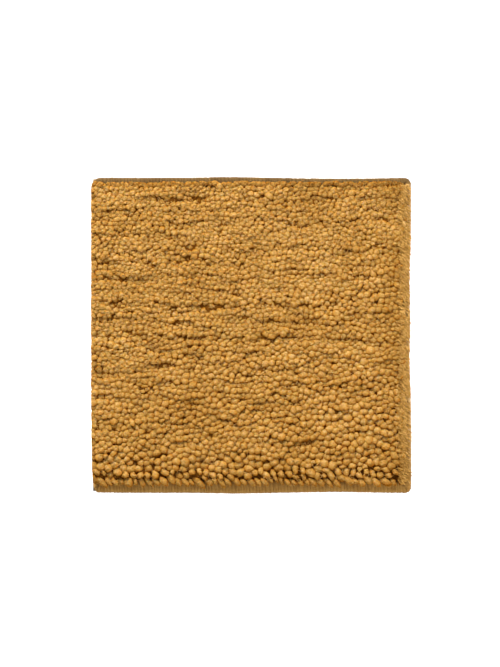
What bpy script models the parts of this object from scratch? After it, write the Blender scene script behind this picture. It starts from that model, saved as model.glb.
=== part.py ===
"""A small square sample of wool pile carpet with a bound edge.

It lies flat with the pile up (+Z). The rows of tufts run along X, and the front edge is at -Y.
The origin is on the floor, under the middle of the sample. All sizes are in metres.
"""

import math

import bmesh
import bpy
from mathutils import Vector

# Outline of the bound sample, seen from above
SAMPLE_WIDTH = 0.2000
SAMPLE_DEPTH = 0.1975
CORNER_FRONT_LEFT = 0.0044
CORNER_FRONT_RIGHT = 0.0036
CORNER_BACK_RIGHT = 0.0044
CORNER_BACK_LEFT = 0.0062

# Edge binding: a ribbed strip of matching yarn, folded round the rim of the backing
BINDING_WALL = 0.0010
BINDING_FOLD = 0.0076
BINDING_ROUNDING = 0.0015
FOLD_CORNER = 0.0020

# Backing cloth, which the tufts stand on
BACKING_THICKNESS = 0.0024

# Wool pile: its foot stands inside the binding, and its crown leans out over it
PILE_HEIGHT = 0.0090
PILE_CORNER = 0.0058
PILE_SHOULDER = 0.0036

# Grooves between rows of tufts: places as shares of the crown's depth, counted from its front edge
GROOVE_PLACES = (0.038, 0.143, 0.202, 0.288, 0.337, 0.387, 0.439,
                 0.489, 0.541, 0.594, 0.686, 0.775, 0.867, 0.939)
GROOVE_DEPTH = 0.0016
GROOVE_WIDTH = 0.0056

# Half section of a groove, from its shoulder inwards: shares of the half width and of the depth
GROOVE_PROFILE = ((1.0, -0.05), (0.55, 0.25), (0.2, 0.7))

# The rows climb towards the right of the front half: how far, and where, as shares of the depth
FAN_RISE = 0.0090
FAN_PLACE = 0.27
FAN_REACH = 0.21

# Width of the binding that stays in view beyond the crown, on each side
BAND_FRONT = 0.0053
BAND_RIGHT = 0.0034
BAND_BACK = 0.0022
BAND_LEFT = 0.0006

# Gap between pieces that touch
CLEARANCE = 0.0003

# Fineness of the rounded corners and rims
CORNER_SEGMENTS = 8
RIM_SEGMENTS = 4
GROOVE_STATIONS = 9

# The groove cutters are longer than the sample is wide, by this factor
CUTTER_LENGTH = 1.1

# Heights that follow from the sizes above
BACKING_RIM_BOTTOM = BINDING_WALL + CLEARANCE
SLOT_TOP = BACKING_THICKNESS + CLEARANCE
BINDING_TOP = SLOT_TOP + BINDING_WALL
PILE_BOTTOM = BACKING_THICKNESS + CLEARANCE
CROWN_BOTTOM = BINDING_TOP + CLEARANCE
PILE_TOP = BACKING_THICKNESS + PILE_HEIGHT


def clear_scene():
    for old in list(bpy.data.objects):
        bpy.data.objects.remove(old, do_unlink=True)


def new_collection(name):
    collection = bpy.data.collections.new(name)
    bpy.context.scene.collection.children.link(collection)
    return collection


def linear(value):
    """An 8-bit sRGB value as linear light."""
    share = value / 255
    return share / 12.92 if share <= 0.04045 else ((share + 0.055) / 1.055) ** 2.4


def fabric(name, red, green, blue, roughness):
    material = bpy.data.materials.new(name)
    material.use_nodes = True
    shader = material.node_tree.nodes["Principled BSDF"]
    shader.inputs["Base Color"].default_value = (linear(red), linear(green), linear(blue), 1)
    shader.inputs["Roughness"].default_value = roughness
    shader.inputs["Metallic"].default_value = 0.0
    return material


def outer_radii(inset=0.0):
    """Corner radii, counted from the front left, of an outline that runs inside the outer edge."""
    outer = (CORNER_FRONT_LEFT, CORNER_FRONT_RIGHT, CORNER_BACK_RIGHT, CORNER_BACK_LEFT)
    return [max(radius - inset, FOLD_CORNER) for radius in outer]


def upright_edge(bm, place):
    return [e for e in bm.edges if all((v.co.xy - place).length < 1e-6 for v in e.verts)]


def level_edges(bm, height):
    return [e for e in bm.edges if all(abs(v.co.z - height) < 1e-6 for v in e.verts)]


def round_edges(bm, edges, radius, segments):
    bmesh.ops.bevel(bm, geom=edges, offset=radius, segments=segments, profile=0.5, affect="EDGES")


def rounded_slab(name, insets, radii, low, high, top_rounding=0.0, bottom_rounding=0.0):
    """A level slab between two heights.

    The insets run from the outline of the sample on the front, right, back and left. The radii
    are those of the corners, counted from the front left.
    """
    front, right, back, left = insets
    x_low, x_high = left - SAMPLE_WIDTH / 2, SAMPLE_WIDTH / 2 - right
    y_low, y_high = front - SAMPLE_DEPTH / 2, SAMPLE_DEPTH / 2 - back
    bm = bmesh.new()
    bmesh.ops.create_cube(bm, size=1.0)
    for vert in bm.verts:
        vert.co.x = x_high if vert.co.x > 0 else x_low
        vert.co.y = y_high if vert.co.y > 0 else y_low
        vert.co.z = high if vert.co.z > 0 else low
    corners = [(x_low, y_low), (x_high, y_low), (x_high, y_high), (x_low, y_high)]
    for corner, radius in zip(corners, radii):
        round_edges(bm, upright_edge(bm, Vector(corner)), radius, CORNER_SEGMENTS)
    if top_rounding:
        round_edges(bm, level_edges(bm, high), top_rounding, RIM_SEGMENTS)
    if bottom_rounding:
        round_edges(bm, level_edges(bm, low), bottom_rounding, RIM_SEGMENTS)
    mesh = bpy.data.meshes.new(name)
    bm.to_mesh(mesh)
    bm.free()
    return bpy.data.objects.new(name, mesh)


def show_part(part, material, collection):
    part.data.materials.append(material)
    part.data.shade_smooth()
    part.data.set_sharp_from_angle(angle=0.6)
    collection.objects.link(part)


def combine(part, tool, operation, tools):
    """Joins a hidden tool shape to a part, or cuts it away."""
    tools.objects.link(tool)
    tool.hide_render = True
    tool.display_type = "WIRE"
    boolean = part.modifiers.new(tool.name, "BOOLEAN")
    boolean.operation = operation
    boolean.object = tool


def make_backing(parts, tools):
    """The cloth is thick inside the binding, and its rim is pressed thin between the two folds."""
    rim_inset = BINDING_WALL + CLEARANCE
    field_inset = BINDING_FOLD + CLEARANCE
    field_top = (BACKING_RIM_BOTTOM + BACKING_THICKNESS) / 2
    rim = rounded_slab("backing", [rim_inset] * 4, outer_radii(rim_inset),
                       BACKING_RIM_BOTTOM, BACKING_THICKNESS)
    field = rounded_slab("backing_field", [field_inset] * 4, [FOLD_CORNER] * 4, 0.0, field_top)
    show_part(rim, fabric("backing_cloth", 138, 112, 78, 0.95), parts)
    combine(rim, field, "UNION", tools)


def make_edge_binding(parts, tools):
    """A strip folded round the rim, so its section is a C that opens inwards."""
    strip = rounded_slab("edge_binding", [0.0] * 4, outer_radii(), 0.0, BINDING_TOP,
                         top_rounding=BINDING_ROUNDING, bottom_rounding=BINDING_ROUNDING)
    window = rounded_slab("binding_window", [BINDING_FOLD] * 4, [FOLD_CORNER] * 4,
                          -BINDING_WALL, BINDING_TOP + BINDING_WALL)
    slot = rounded_slab("binding_slot", [BINDING_WALL] * 4, outer_radii(BINDING_WALL),
                        BINDING_WALL, SLOT_TOP)
    show_part(strip, fabric("binding_yarn", 150, 110, 56, 0.9), parts)
    combine(strip, window, "DIFFERENCE", tools)
    combine(strip, slot, "DIFFERENCE", tools)


def groove_section():
    """Outline of a groove cutter, seen along the groove: soft shoulders, steep near the bottom line."""
    half, drop = GROOVE_WIDTH / 2, GROOVE_DEPTH
    front = [(-half * across, PILE_TOP - drop * down) for across, down in GROOVE_PROFILE]
    back = [(half * across, PILE_TOP - drop * down) for across, down in reversed(GROOVE_PROFILE)]
    return front + [(0.0, PILE_TOP - drop)] + back + [(half, PILE_TOP + drop), (-half, PILE_TOP + drop)]


def row_climb(share_across, share_deep):
    """How far a row has climbed: nothing on the left, most at the right of the front half."""
    across = min(max(2 * share_across - 1, 0.0), 1.0)
    smooth = across * across * (3 - 2 * across)
    return FAN_RISE * smooth * math.exp(-((share_deep - FAN_PLACE) / FAN_REACH) ** 2)


def groove_tool():
    """One long cutter for each groove, all in one mesh."""
    section = groove_section()
    around = len(section)
    y_low, y_high = BAND_FRONT - SAMPLE_DEPTH / 2, SAMPLE_DEPTH / 2 - BAND_BACK
    bm = bmesh.new()
    for place in GROOVE_PLACES:
        rings = []
        for station in range(GROOVE_STATIONS):
            share = station / (GROOVE_STATIONS - 1)
            x = (share - 0.5) * CUTTER_LENGTH * SAMPLE_WIDTH
            middle = y_low + place * (y_high - y_low) + row_climb(share, place)
            rings.append([bm.verts.new((x, middle + y, z)) for y, z in section])
        for ring, following in zip(rings, rings[1:]):
            for spot in range(around):
                after = (spot + 1) % around
                bm.faces.new((ring[spot], ring[after], following[after], following[spot]))
        bm.faces.new(rings[0][::-1])
        bm.faces.new(rings[-1])
    bmesh.ops.recalc_face_normals(bm, faces=bm.faces)
    mesh = bpy.data.meshes.new("pile_grooves")
    bm.to_mesh(mesh)
    bm.free()
    return bpy.data.objects.new("pile_grooves", mesh)


def make_wool_pile(parts, tools):
    """The foot fills the window of the binding, and the grooved crown spreads over the upper fold."""
    foot_inset = BINDING_FOLD + CLEARANCE
    shoulder = min(PILE_SHOULDER, 0.9 * PILE_CORNER, 0.9 * (PILE_TOP - CROWN_BOTTOM))
    crown = rounded_slab("wool_pile", [BAND_FRONT, BAND_RIGHT, BAND_BACK, BAND_LEFT],
                         [PILE_CORNER] * 4, CROWN_BOTTOM, PILE_TOP, top_rounding=shoulder)
    foot = rounded_slab("pile_foot", [foot_inset] * 4, [FOLD_CORNER] * 4,
                        PILE_BOTTOM, (CROWN_BOTTOM + PILE_TOP) / 2)
    show_part(crown, fabric("mustard_wool", 181, 130, 62, 0.95), parts)
    combine(crown, foot, "UNION", tools)
    combine(crown, groove_tool(), "DIFFERENCE", tools)


def main():
    clear_scene()
    parts = new_collection("carpet_sample")
    tools = new_collection("cutters")
    make_backing(parts, tools)
    make_edge_binding(parts, tools)
    make_wool_pile(parts, tools)


main()
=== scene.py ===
"""The looks of the carpet sample: wool tufts, bound edge and woven backing.

Everything is in metres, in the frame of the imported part: pile up (+Z), rows of tufts along X,
front edge at -Y. Pixel coordinates are those of the 500 by 667 photograph.
"""

import math
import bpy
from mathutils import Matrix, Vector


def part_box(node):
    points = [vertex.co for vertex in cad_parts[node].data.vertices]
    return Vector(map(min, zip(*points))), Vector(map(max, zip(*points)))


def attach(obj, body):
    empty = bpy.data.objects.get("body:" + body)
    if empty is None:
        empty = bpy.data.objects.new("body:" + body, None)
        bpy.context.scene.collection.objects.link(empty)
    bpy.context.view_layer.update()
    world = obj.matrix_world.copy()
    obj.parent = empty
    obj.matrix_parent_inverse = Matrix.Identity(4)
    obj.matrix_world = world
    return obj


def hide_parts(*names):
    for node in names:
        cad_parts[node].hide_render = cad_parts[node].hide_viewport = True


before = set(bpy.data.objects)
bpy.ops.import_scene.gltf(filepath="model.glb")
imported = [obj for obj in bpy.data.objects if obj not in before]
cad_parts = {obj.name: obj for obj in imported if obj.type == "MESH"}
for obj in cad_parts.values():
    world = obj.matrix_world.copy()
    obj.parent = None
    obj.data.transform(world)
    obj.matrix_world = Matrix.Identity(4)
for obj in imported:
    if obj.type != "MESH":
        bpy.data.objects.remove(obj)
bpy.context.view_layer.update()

from types import SimpleNamespace

import bpy
import numpy as np
from mathutils.kdtree import KDTree

# The photograph's frame, and where the middle of the sample lies in it
PHOTO_WIDTH_PX = 500
PHOTO_HEIGHT_PX = 667
SAMPLE_MIDDLE_PX = (251.0, 335.0)
METRES_PER_PIXEL = 0.000625

# Camera and studio
LENS_MM = 100.0
SENSOR_MM = 36.0
FLOOR_HALF_SIZE = 3.0
WORLD_LIGHT = 0.436

# Lamps: name, place, size and power
LAMPS = (
    ("key", (-0.40, 1.07, 0.68), 0.45, 29.5),
    ("fill", (0.80, -0.20, 0.55), 0.6, 4.0),
)

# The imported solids
OUTLINE_LOW, OUTLINE_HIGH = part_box("edge_binding")
BINDING_TOP = OUTLINE_HIGH.z
BACKING_LOW, BACKING_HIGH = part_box("backing")
BACKING_TOP = BACKING_HIGH.z
PILE_LOW, PILE_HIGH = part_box("wool_pile")
CROWN_CORNER = 0.0058
BINDING_FOLD = 0.0076
BINDING_WALL = 0.0010
PRESS_SHARE = 0.03
CORNER_RADII = {"front_left": 0.0044, "front_right": 0.0036, "back_right": 0.0044, "back_left": 0.0062}
CLEARANCE = 0.0003

# The random draws start from this number, and the fields of smooth noise from numbers of their own
SEED = 7

# Rows of tufts: wide apart at the front edge, coarse in the front half and fine behind
ROW_PITCH_FRONT = 0.0052
ROW_PITCH_COARSE = 0.0035
ROW_PITCH_FINE = 0.0030
TUFT_PITCH_FRONT = 0.0044
TUFT_PITCH_COARSE = 0.0040
TUFT_PITCH_FINE = 0.0029
FRONT_ROWS_DEPTH = 0.018
COARSE_ROWS_FROM = 0.030
COARSE_ROWS_TO = 0.085

# The rows climb towards the right of the front half: how far, where along Y and over what reach
FAN_RISE = 0.0090
FAN_PLACE = -0.0422
FAN_REACH = 0.040

# Packing of the yarn ends: a place further from every end than BARE_REACH of their spacing gets
# an end of its own
SPREAD_ROUNDS = 8
SETTLING_ROUNDS = 2
BARE_REACH = 0.80
BARE_STEP = 0.0010
CROWN_MARGIN = 0.0013

# Outlines of the heads: rounded cells between the nearest neighbours
CELL_DIRECTIONS = 24
CELL_NEIGHBOURS = 10
CELL_REACH = 1.6
CELL_SHARPNESS = 6
EDGE_ROWS_TURN = math.radians(-58)

# Height of a head as a share of its mean radius, in the pile and in the loose rows at the front
DOME_SHARE = 0.63
DOME_SHARE_LOOSE = 0.73

# Meshes: thick and fine ends, each in bands from front to back
BAND_COUNT = 4
THICK_SPACING = 0.0036
SIDES_THICK = 12
SIDES_FINE = 10

# Matted foot of the pile, loose fibres and brushed strands
ROOTS_DEPTH = 0.0023
ROOTS_STEP = 0.0016
FIBRE_COUNT = 11000
EDGE_STRAND_COUNT = 1700

# Ribs of the binding, and threads of the backing
RIB_PITCH = 0.00195
RIB_HEIGHT = 0.00022
SAMPLES_PER_RIB = 6
THREAD_PITCH = 0.0026
THREAD_RELIEF = 0.00022

# Lines where the pile parts, from the photograph: start and end pixels and how far it opens
PARTINGS = (
    ((105, 184), (165, 184), 0.5), ((150, 198), (203, 199), 0.7), ((94, 211), (140, 212), 0.4),
    ((170, 223), (200, 221), 0.5), ((165, 255), (200, 256), 0.6), ((140, 263), (182, 264), 0.5),
    ((200, 263), (222, 262), 0.5), ((92, 280), (148, 279), 0.8), ((168, 284), (198, 284), 0.4),
    ((192, 305), (250, 309), 0.8), ((180, 312), (250, 314), 0.5), ((118, 331), (146, 332), 0.4),
    ((168, 337), (250, 337), 0.5), ((300, 186), (332, 187), 0.5), ((308, 197), (346, 198), 0.6),
    ((262, 203), (292, 203), 0.4), ((286, 224), (326, 224), 0.6), ((262, 231), (296, 231), 0.4),
    ((252, 243), (302, 244), 0.5), ((252, 270), (292, 270), 0.4), ((330, 253), (352, 253), 0.4),
    ((262, 305), (312, 306), 0.6), ((286, 313), (314, 314), 0.7), ((258, 319), (318, 321), 0.7),
    ((300, 323), (346, 325), 0.7), ((342, 315), (396, 309), 0.6), ((250, 337), (302, 338), 0.7),
    ((320, 336), (388, 343), 0.8), ((94, 346), (132, 346), 0.4), ((148, 364), (172, 364), 1.0),
    ((93, 369), (147, 371), 1.0), ((255, 369), (294, 368), 0.7), ((208, 390), (234, 391), 0.5),
    ((278, 384), (302, 385), 0.6), ((250, 401), (300, 401), 0.7), ((134, 403), (160, 402), 0.5),
    ((205, 423), (232, 419), 0.6), ((128, 425), (160, 426), 0.4), ((296, 441), (322, 441), 0.6),
    ((93, 460), (112, 459), 0.9), ((172, 463), (216, 461), 0.8), ((93, 472), (112, 473), 0.6),
    ((166, 474), (202, 474), 0.6), ((87, 197), (98, 198), 1.0), ((87, 210), (98, 211), 1.0),
)
PARTING_REACH = 0.0026

# Grooves between rows: height in the photograph in pixels, and how strong
GROOVES = (
    (190, 0.4), (199, 0.8), (210, 0.5), (221, 1.0), (235, 0.5), (249, 1.0), (262, 0.5), (276, 1.0),
    (290, 0.5), (304, 1.0), (320, 1.0), (336, 1.0), (351, 0.7), (367, 0.9), (382, 0.7), (397, 0.9),
    (410, 0.4), (423, 0.8), (441, 0.8), (457, 0.5), (473, 0.4),
)
GROOVE_WIDTH = 0.0015
GROOVE_DEPTH = 0.0005
RIDGE_DEPTH = 0.0007

# Patches where the pile is brushed over, painted lighter or darker for how the light falls on the nap: middle
# pixel, radius in pixels and change of tone
BRUSHED_NAP_LIGHT = (
    ((237, 195), 34, 0.30), ((318, 198), 20, -0.30), ((300, 275), 45, 0.35), ((295, 318), 18, -0.35),
    ((170, 425), 34, -0.40), ((205, 395), 22, -0.30), ((290, 448), 22, -0.35), ((345, 400), 40, 0.20),
    ((110, 345), 24, 0.25), ((398, 300), 26, -0.25),
)

# How the outline of the bound edge strays from straight: pixel along the side, shift outwards in pixels
OUTLINE_WAVES = {
    "front": ((90, -0.6), (120, 0.0), (200, 0.1), (237, 0.9), (280, 0.0), (340, -0.9), (380, 0.0),
              (412, 0.2)),
    "right": ((177, 0.2), (240, 0.1), (262, -0.9), (280, -1.7), (305, -0.9), (340, -0.9), (360, -1.6),
              (380, -0.8), (402, 0.1), (440, 0.5), (480, 0.4), (493, 0.0)),
    "back": ((90, -0.5), (190, -0.4), (230, 0.4), (270, -0.4), (320, -1.3), (365, -1.3), (412, -0.3)),
    "left": ((177, 0.0), (400, 0.0), (425, -0.6), (470, -0.9), (488, -2.4), (493, -2.4)),
}
WAVE_SAMPLES = 160
WAVE_SOFTNESS = 6

# Where the pile ends at the back, where it turns into fine strands on the right, and the dark line
# in front of them, as pixels of the photograph
PILE_BACK_PX = 183.2
STRANDS_START_PX = 395
STRANDS_FULL_PX = 404
SHADED_SIDE_PX = 393


def from_photo(x_px, y_px):
    """A pixel of the photograph as a point on the sample, in metres."""
    x = (x_px - SAMPLE_MIDDLE_PX[0]) * METRES_PER_PIXEL
    y = (SAMPLE_MIDDLE_PX[1] - y_px) * METRES_PER_PIXEL
    return x, y


def photo_row(y):
    """The pixel row of the photograph that a place along Y lies in."""
    return SAMPLE_MIDDLE_PX[1] - y / METRES_PER_PIXEL


TUFTS_BACK = from_photo(0, PILE_BACK_PX)[1]
SHADED_SIDE = from_photo(SHADED_SIDE_PX, 0)[0]
SHADED_REACH = 0.0058

# At the right the pile is brushed flat in fine strands, which lean this way and stand this close.
# They follow the pile down over the binding
STRANDS_START = from_photo(STRANDS_START_PX, 0)[0]
STRANDS_FULL = from_photo(STRANDS_FULL_PX, 0)[0]
STRANDS_TURN = math.radians(-38)
STRAND_SPACING = 0.0022
STRAND_PLACES = ((0, 0), (0.4, 0.3), (0.1, 0.6))
EDGE_DROP = 0.0070

# Rows are laid out within these ranges, and the ends are kept within the others
ROWS_X = PILE_LOW.x + 0.0014, PILE_HIGH.x - 0.0012
ROWS_Y = PILE_LOW.y + 0.0026, TUFTS_BACK - 0.0014
ENDS_X = PILE_LOW.x + 0.0010, PILE_HIGH.x - 0.0014
ENDS_Y = PILE_LOW.y + 0.0022, TUFTS_BACK - 0.0012


def smooth_noise(x, y, wavelength, seed, waves=9):
    """A smooth random field of about unit spread, made of plane waves."""
    rng = np.random.default_rng(seed)
    total = np.zeros_like(x)
    for _ in range(waves):
        turn = rng.uniform(0, 2 * math.pi)
        length = wavelength * rng.uniform(0.7, 1.5)
        phase = rng.uniform(0, 2 * math.pi)
        total += np.sin((x * math.cos(turn) + y * math.sin(turn)) * 2 * math.pi / length + phase)
    return total * math.sqrt(2 / waves)


def smooth_step(value, low, high):
    share = np.clip((value - low) / (high - low), 0, 1)
    return share * share * (3 - 2 * share)


def press(value, low, high):
    """Brings what lies beyond two limits almost onto them."""
    kept = np.clip(value, low, high)
    return kept + PRESS_SHARE * (value - kept)


def unit(vectors):
    return vectors / np.linalg.norm(vectors, axis=-1, keepdims=True)


def from_rim(x, y, low, high):
    """How far inside the sides of a box each point lies."""
    return np.minimum(np.minimum(x - low.x, high.x - x), np.minimum(y - low.y, high.y - y))


def search_tree(x, y):
    """The points, ready to be searched for neighbours."""
    tree = KDTree(len(x))
    for number in range(len(x)):
        tree.insert((x[number], y[number], 0), number)
    tree.balance()
    return tree


def outline_wave(side, place_px):
    """Shift outwards, in metres, at a pixel along one side."""
    waves = np.array(OUTLINE_WAVES[side])
    spots = np.linspace(waves[0, 0], waves[-1, 0], WAVE_SAMPLES)
    window = 2 * WAVE_SOFTNESS + 1
    soft = np.convolve(np.pad(np.interp(spots, waves[:, 0], waves[:, 1]), WAVE_SOFTNESS, mode="edge"),
                       np.ones(window) / window, mode="valid")
    return np.interp(place_px, spots, soft) * METRES_PER_PIXEL


def new_piece(name, points, faces, material, uv=None, attributes=None):
    mesh = bpy.data.meshes.new(name)
    mesh.from_pydata(points, [], faces)
    if uv is not None:
        layer = mesh.uv_layers.new(name="yarn")
        layer.data.foreach_set("uv", np.asarray(uv, np.float32).ravel())
    for key, values in (attributes or {}).items():
        layer = mesh.attributes.new(key, "FLOAT", "POINT")
        layer.data.foreach_set("value", np.asarray(values, np.float32).ravel())
    mesh.shade_smooth()
    mesh.materials.append(material)
    piece = bpy.data.objects.new(name, mesh)
    bpy.context.scene.collection.objects.link(piece)
    return piece


def dress(piece, node):
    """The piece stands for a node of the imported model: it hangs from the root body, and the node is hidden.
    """
    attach(piece, "root")
    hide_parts(node)


def repeated(pattern, points_each, count):
    """The faces of one small form, for as many forms as there are."""
    return [tuple(corner + points_each * number for corner in face)
            for number in range(count) for face in pattern]


def closed_grid(grid_x, grid_y, grid_z, level, looks_up):
    """Points and faces of a sheet: a grid, closed by straight sides and a flat face at another level."""
    rows, columns = grid_x.shape
    points = np.stack([grid_x.ravel(), grid_y.ravel(), grid_z.ravel()], axis=1)
    row, column = np.meshgrid(np.arange(rows - 1), np.arange(columns - 1), indexing="ij")
    corner = (row * columns + column).ravel()
    index = np.arange(rows * columns).reshape(rows, columns)
    rim = np.concatenate([index[0, :-1], index[:-1, -1], index[-1, :0:-1], index[:0:-1, 0]])
    flat = points[rim].copy()
    flat[:, 2] = level
    far = len(points) + np.arange(len(rim))
    field = np.stack([corner, corner + columns, corner + columns + 1, corner + 1], axis=1)
    sides = np.stack([rim, np.roll(rim, -1), np.roll(far, -1), far], axis=1)
    if looks_up:
        field, sides, far = field[:, [0, 3, 2, 1]], sides[:, [0, 3, 2, 1]], far[::-1]
    return np.concatenate([points, flat]), field.tolist() + sides.tolist() + [far.tolist()]


def fineness(x, y):
    """From 0, thick yarn ends at the lower right, to 1, fine brushed strands at the upper left."""
    return smooth_step(y - 0.45 * x, -0.055, 0.075)


def coarseness(x, y):
    """1 where the yarn ends are thick, and 0 where they are fine."""
    return 1 - smooth_step(fineness(x, y), 0.1, 0.5)


def strands_share(x):
    """From 0 in the pile to 1 where it is brushed flat along the right edge."""
    return smooth_step(x, STRANDS_START, STRANDS_FULL)


def edge_height(x):
    """Height of the top of the pile, which falls away to the binding along the right edge."""
    share = smooth_step(x, STRANDS_START, OUTLINE_HIGH.x - 0.001)
    return PILE_HIGH.z - EDGE_DROP * share ** 2


def fan_rise(x, y):
    """How far the rows climb above level: they fan out towards the right of the front half."""
    across = np.clip(2 * (x - PILE_LOW.x) / (PILE_HIGH.x - PILE_LOW.x) - 1, 0, 1)
    return FAN_RISE * across * across * (3 - 2 * across) * np.exp(-((y - FAN_PLACE) / FAN_REACH) ** 2)


def row_level(x, y):
    """Place along Y with the climb and the wander of the rows taken out."""
    return y - fan_rise(x, y) - 0.0008 * smooth_noise(x, y, 0.04, 14)


def row_turn(x, y):
    """Direction of the rows, as an angle from +X, and of the strands at the right edge."""
    slope = (fan_rise(x + 0.002, y) - fan_rise(x - 0.002, y)) / 0.004
    turn = 1.6 * np.arctan(slope) + math.radians(4) + math.radians(9) * smooth_noise(x, y, 0.03, 13)
    return turn + (STRANDS_TURN - turn) * strands_share(x)


def oval_share(x, y):
    """How much longer than wide the nubs are, as the root of that ratio."""
    oval = 1.07 + 0.11 * fineness(x, y)
    return oval + (1.45 - oval) * strands_share(x)


def inside_crown(x, y, margin):
    """Moves points that lie beyond the rounded corners of the pile onto them."""
    middle_x, middle_y = (PILE_LOW.x + PILE_HIGH.x) / 2, (PILE_LOW.y + PILE_HIGH.y) / 2
    half_x = (PILE_HIGH.x - PILE_LOW.x) / 2 - CROWN_CORNER
    half_y = (PILE_HIGH.y - PILE_LOW.y) / 2 - CROWN_CORNER
    over_x = np.maximum(np.abs(x - middle_x) - half_x, 0)
    over_y = np.maximum(np.abs(y - middle_y) - half_y, 0)
    far = np.hypot(over_x, over_y) + 1e-9
    keep = np.minimum(1.0, (CROWN_CORNER - margin) / far)
    corner = (over_x > 0) & (over_y > 0)
    new_x = middle_x + np.sign(x - middle_x) * (half_x + over_x * keep)
    new_y = middle_y + np.sign(y - middle_y) * (half_y + over_y * keep)
    return np.where(corner, new_x, x), np.where(corner, new_y, y)


def tuft_pitch(x, y, front):
    """How far apart the tufts of a row stand: front is 1 in the coarse rows at the front edge."""
    pitch = TUFT_PITCH_COARSE + (TUFT_PITCH_FINE - TUFT_PITCH_COARSE) * fineness(x, y)
    return pitch + (TUFT_PITCH_FRONT - pitch) * front


def lay_out_rows():
    """The rows from front to back: place along Y, pitch, and 1 at the front edge falling to 0."""
    y_low, y_high = ROWS_Y
    rows, y = [], y_low
    while y < y_high:
        front = 1 - smooth_step(y - y_low, 0.2 * FRONT_ROWS_DEPTH, 1.1 * FRONT_ROWS_DEPTH)
        near = 1 - smooth_step(y - y_low, COARSE_ROWS_FROM, COARSE_ROWS_TO)
        pitch = ROW_PITCH_FINE + (ROW_PITCH_COARSE - ROW_PITCH_FINE) * near
        pitch += (ROW_PITCH_FRONT - pitch) * front
        rows.append((y, pitch, front))
        y += pitch
    stretch = (y_high - y_low) / (rows[-1][0] - y_low)
    return [(y_low + (y - y_low) * stretch, pitch, front) for y, pitch, front in rows]


def lay_out_tufts():
    """The tufts row by row, as columns x, y, spacing and row number."""
    rng = np.random.default_rng(SEED)
    strands_middle = (STRANDS_START + STRANDS_FULL) / 2
    found = []
    for number, (y, pitch, front) in enumerate(lay_out_rows()):
        x = ROWS_X[0] + rng.uniform(0, 0.5) * ROW_PITCH_FINE
        while x < ROWS_X[1]:
            step = float(tuft_pitch(x, y, front))
            if x > strands_middle:
                found += [(x + across * step, y + back * pitch, STRAND_SPACING, number)
                          for across, back in STRAND_PLACES]
            else:
                found.append((x, y, math.sqrt(step * pitch), number))
            x += step * (1 + 0.20 * rng.standard_normal())
    found = np.array(found)
    x, y, row = found[:, 0], found[:, 1], found[:, 3]
    y_low, y_high = ROWS_Y
    rim = smooth_step(np.minimum(y - y_low, y_high - y), 0.0, 0.012)
    wander = 0.0007 * smooth_noise(x, y, 0.05, 11) + 0.0008 * smooth_noise(x, y, 0.018, 12)
    y = y + fan_rise(x, y) * smooth_step(y - y_low, 0.0, 0.03) + rim * wander
    uneven = 0.0010 * smooth_noise(x, 0.05 * row, 0.024, 17, 6)
    found[:, 1] = y + uneven * (1 - smooth_step(y - y_low, 0.010, 0.024))
    return found


def spread_out(x, y, spacing, rounds):
    """Ends that stand too close push each other apart, so the pile has no bare places.

    Distances count as shorter along the rows, so the ends come to lie as ovals along them.
    """
    turn = row_turn(x, y)
    cosine, sine, oval = np.cos(turn), np.sin(turn), oval_share(x, y)
    for _ in range(rounds):
        tree = search_tree(x, y)
        move_x, move_y = np.zeros_like(x), np.zeros_like(y)
        for number in range(len(x)):
            reach = 1.3 * spacing[number]
            c, s, stretch = cosine[number], sine[number], oval[number]
            for _, other, _ in tree.find_range((x[number], y[number], 0), reach):
                if other == number:
                    continue
                wanted = (spacing[number] + spacing[other]) / 2
                dx, dy = x[number] - x[other], y[number] - y[other]
                along = (dx * c + dy * s) / (stretch * wanted)
                over = (dy * c - dx * s) * stretch / wanted
                apart = math.hypot(along, over) + 1e-6
                if apart < 1.0:
                    push = 0.35 * (1.0 - apart) / apart * wanted
                    move_x[number] += push * (along * c - over * s)
                    move_y[number] += push * (along * s + over * c)
        x = np.clip(x + move_x, *ENDS_X)
        y = np.clip(y + move_y, *ENDS_Y)
        x, y = inside_crown(x, y, CROWN_MARGIN)
    return x, y


def fill_bare_places(x, y, spacing, row):
    """Adds yarn ends where the rows have left a bare place."""
    tree = search_tree(x, y)
    grid_x, grid_y = np.meshgrid(np.arange(*ENDS_X, BARE_STEP), np.arange(*ENDS_Y, BARE_STEP))
    grid_x, grid_y = inside_crown(grid_x.ravel(), grid_y.ravel(), CROWN_MARGIN)
    added = []
    for place in zip(grid_x, grid_y):
        _, number, apart = tree.find((*place, 0))
        wanted = BARE_REACH * spacing[number]
        if apart > wanted and all(math.dist(place, other[:2]) > wanted for other in added):
            added.append((*place, spacing[number], row[number]))
    return np.concatenate([np.stack([x, y, spacing, row]), np.array(added).reshape(-1, 4).T], axis=1)


def partings(x, y):
    """For each end: how near it is to a line where the pile parts, above that line and below it."""
    above, below = np.zeros_like(y), np.zeros_like(y)
    for start, end, opening in PARTINGS:
        (x0, y0), (x1, y1) = from_photo(*start), from_photo(*end)
        along = np.clip((x - x0) / (x1 - x0), -0.2, 1.2)
        off = y - (y0 + (y1 - y0) * along) - 0.0005 * smooth_noise(x, 0 * y + y0, 0.016, 15, 5)
        inside = smooth_step(along, -0.1, 0.1) * (1 - smooth_step(along, 0.9, 1.1))
        near = np.exp(-(off / PARTING_REACH) ** 2) * inside * opening
        above = np.maximum(above, np.where(off > 0, near, 0))
        below = np.maximum(below, np.where(off <= 0, near, 0))
    return above, below


def grooves(x, y):
    """Horizontal grooves between rows, from the photograph: how deep, and the way up or down to them."""
    depth, way = np.zeros_like(x), np.zeros_like(x)
    level = row_level(x, y)
    for number, (y_px, strength) in enumerate(GROOVES):
        place = from_photo(0, y_px)[1]
        fade = np.clip(0.45 + 0.6 * smooth_noise(x, 0 * y + number, 0.04, 200 + number, 4), 0, 1.3)
        off = (level - place) / GROOVE_WIDTH
        near = np.exp(-off ** 2) * fade * strength
        depth += near
        way += near * off
    return depth, way


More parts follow.
